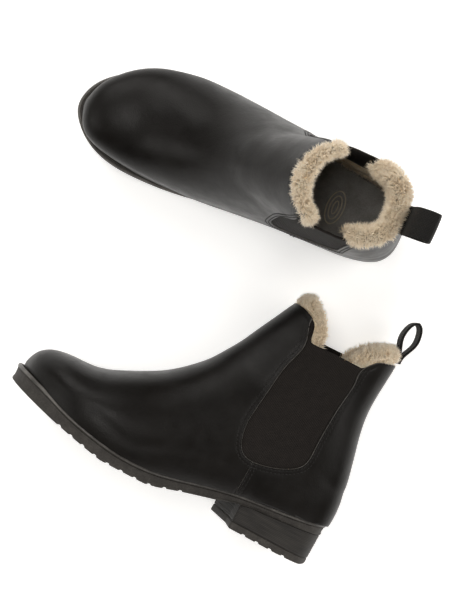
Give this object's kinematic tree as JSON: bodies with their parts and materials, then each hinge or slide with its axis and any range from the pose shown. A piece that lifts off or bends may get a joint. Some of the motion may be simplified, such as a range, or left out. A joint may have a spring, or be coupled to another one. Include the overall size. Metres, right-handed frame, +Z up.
{
  "type": "chelsea boots",
  "caption": "Pair of black ankle boots with elastic side gores, fur lining and webbing pull loops, one standing on its sole and one lying on its inner side.",
  "frame": {"origin": "middle of the pair's bounding box, on the floor", "axes": "+Z up from the floor; +Y runs from the lying boot to the standing boot; +X is to the right when both toes point left"},
  "size_m": [0.334, 0.403, 0.2128],
  "materials": {
    "leather": "smooth, soft satin sheen",
    "elastic": "matte, fine vertical ribs",
    "thread": "matte black sewing thread",
    "fur": "dense short cream pile",
    "felt": "matte felt",
    "fibre_board": "pressed fibre board",
    "footbed": "matte dark grey microfibre",
    "cork": "granular cork",
    "rubber": "matte, finely pitted",
    "steel": "plain steel",
    "webbing": "woven, matte"
  },
  "bodies": {
    "right_boot": {"right_vamp": "leather", "right_quarter": "leather", "right_lateral_gore": "elastic", "right_medial_gore": "elastic", "right_gore_stitching": "thread", "right_side_seam_stitching": "thread", "right_front_lining": "fur", "right_back_lining": "fur", "right_front_collar_fur": "fur", "right_back_collar_fur": "fur", "right_felt": "felt", "right_toe_puff": "fibre_board", "right_heel_counter": "fibre_board", "right_footbed": "footbed", "right_insole_board": "fibre_board", "right_shank": "steel", "right_cork_filler": "cork", "right_welt": "rubber", "right_outsole": "rubber", "right_heel_block": "rubber", "right_top_lift": "rubber", "right_heel_nails": "steel"},
    "right_loop": {"right_pull_loop": "webbing"},
    "left_boot": {"left_vamp": "leather", "left_quarter": "leather", "left_lateral_gore": "elastic", "left_medial_gore": "elastic", "left_gore_stitching": "thread", "left_side_seam_stitching": "thread", "left_front_lining": "fur", "left_back_lining": "fur", "left_front_collar_fur": "fur", "left_back_collar_fur": "fur", "left_felt": "felt", "left_toe_puff": "fibre_board", "left_heel_counter": "fibre_board", "left_footbed": "footbed", "left_insole_board": "fibre_board", "left_shank": "steel", "left_cork_filler": "cork", "left_welt": "rubber", "left_outsole": "rubber", "left_heel_block": "rubber", "left_top_lift": "rubber", "left_heel_nails": "steel"},
    "left_loop": {"left_pull_loop": "webbing"}
  },
  "joints": [
    {"name": "right_loop_lean", "type": "hinge", "parent": "right_boot", "child": "right_loop", "pos_m": [0.13555, 0.0704, 0.1795], "axis": [-0.4043, -0.9146, 0], "range_deg": [-40, 30], "stiffness_Nm_per_rad": 0.02},
    {"name": "left_boot_tip_up", "type": "hinge", "parent": "right_boot", "child": "left_boot", "pos_m": [-0.05109, -0.13739, 0], "axis": [0.8757, -0.4828, 0], "range_deg": [0, 91.39]},
    {"name": "left_loop_lean", "type": "hinge", "parent": "left_boot", "child": "left_loop", "pos_m": [0.14568, -0.04, 0.03072], "axis": [-0.0488, -0.0007, -0.9988], "range_deg": [-10, 60], "stiffness_Nm_per_rad": 0.02}
  ]
}
